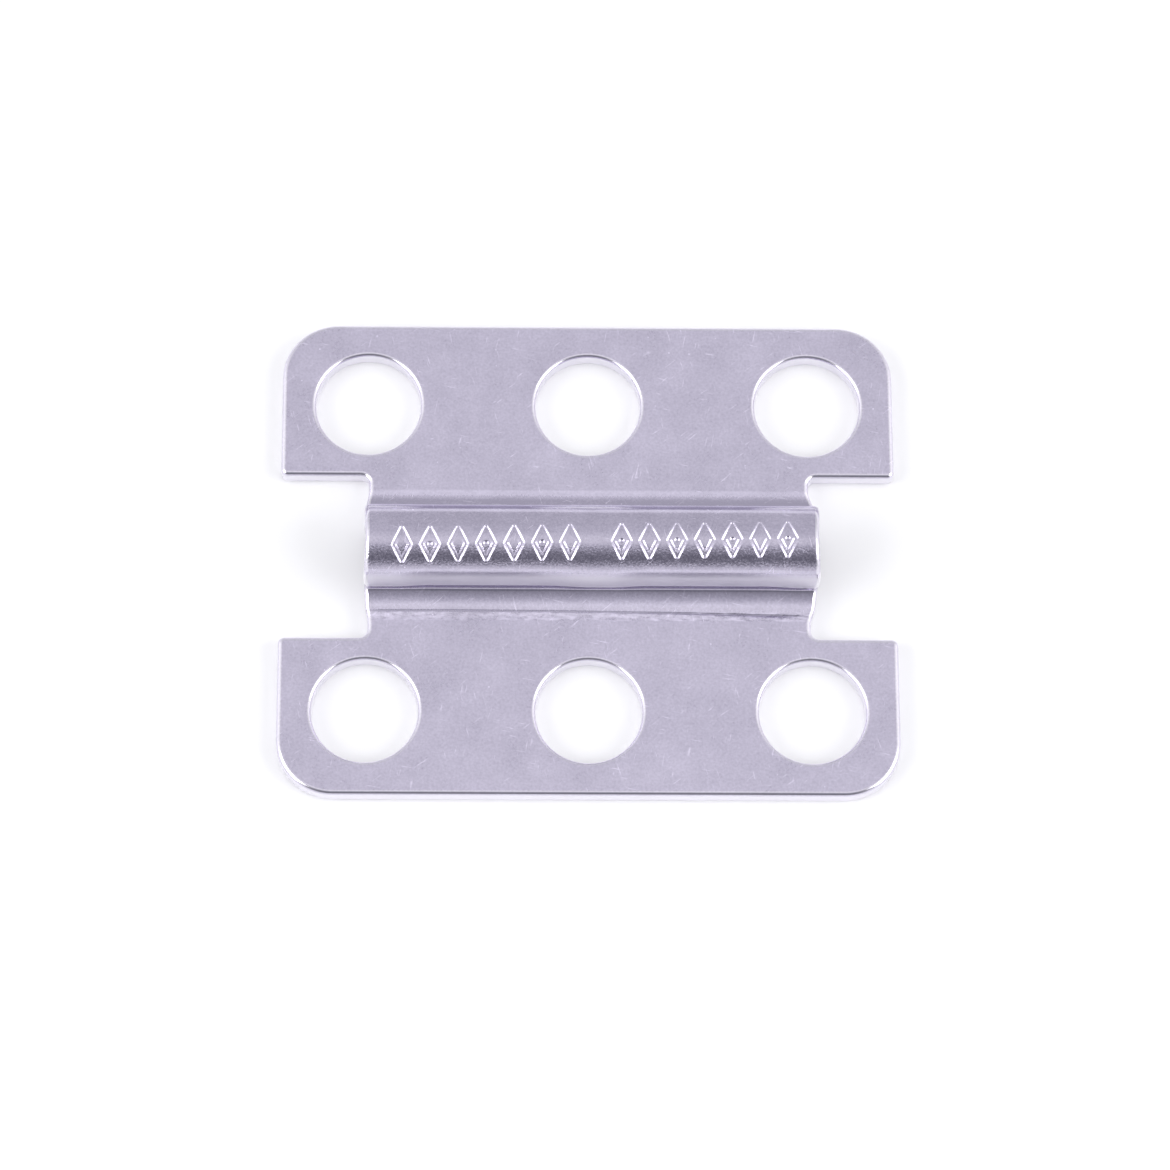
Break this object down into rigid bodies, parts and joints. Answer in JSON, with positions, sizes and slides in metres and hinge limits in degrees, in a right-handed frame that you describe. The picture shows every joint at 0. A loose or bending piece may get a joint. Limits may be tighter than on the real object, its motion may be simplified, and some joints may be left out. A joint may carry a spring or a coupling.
{
  "type": "saddle plate",
  "caption": "Pressed stainless sheet saddle plate: two flat flanges with round screw holes, joined by a narrower neck raised into a round channel that straddles a thin rod.",
  "frame": {"origin": "on the surface the plate is screwed to, at the middle of the plate", "axes": "+X along the channel, +Y across it towards the back row of holes, +Z away from the surface, out of the channel's crown"},
  "size_m": [0.0362, 0.0292, 0.0054],
  "materials": {
    "stainless_sheet": "tumbled satin stainless with fine random scratches; the channel's crown is slightly brighter"
  },
  "bodies": {
    "root": {"saddle_plate": "stainless_sheet"}
  },
  "joints": []
}
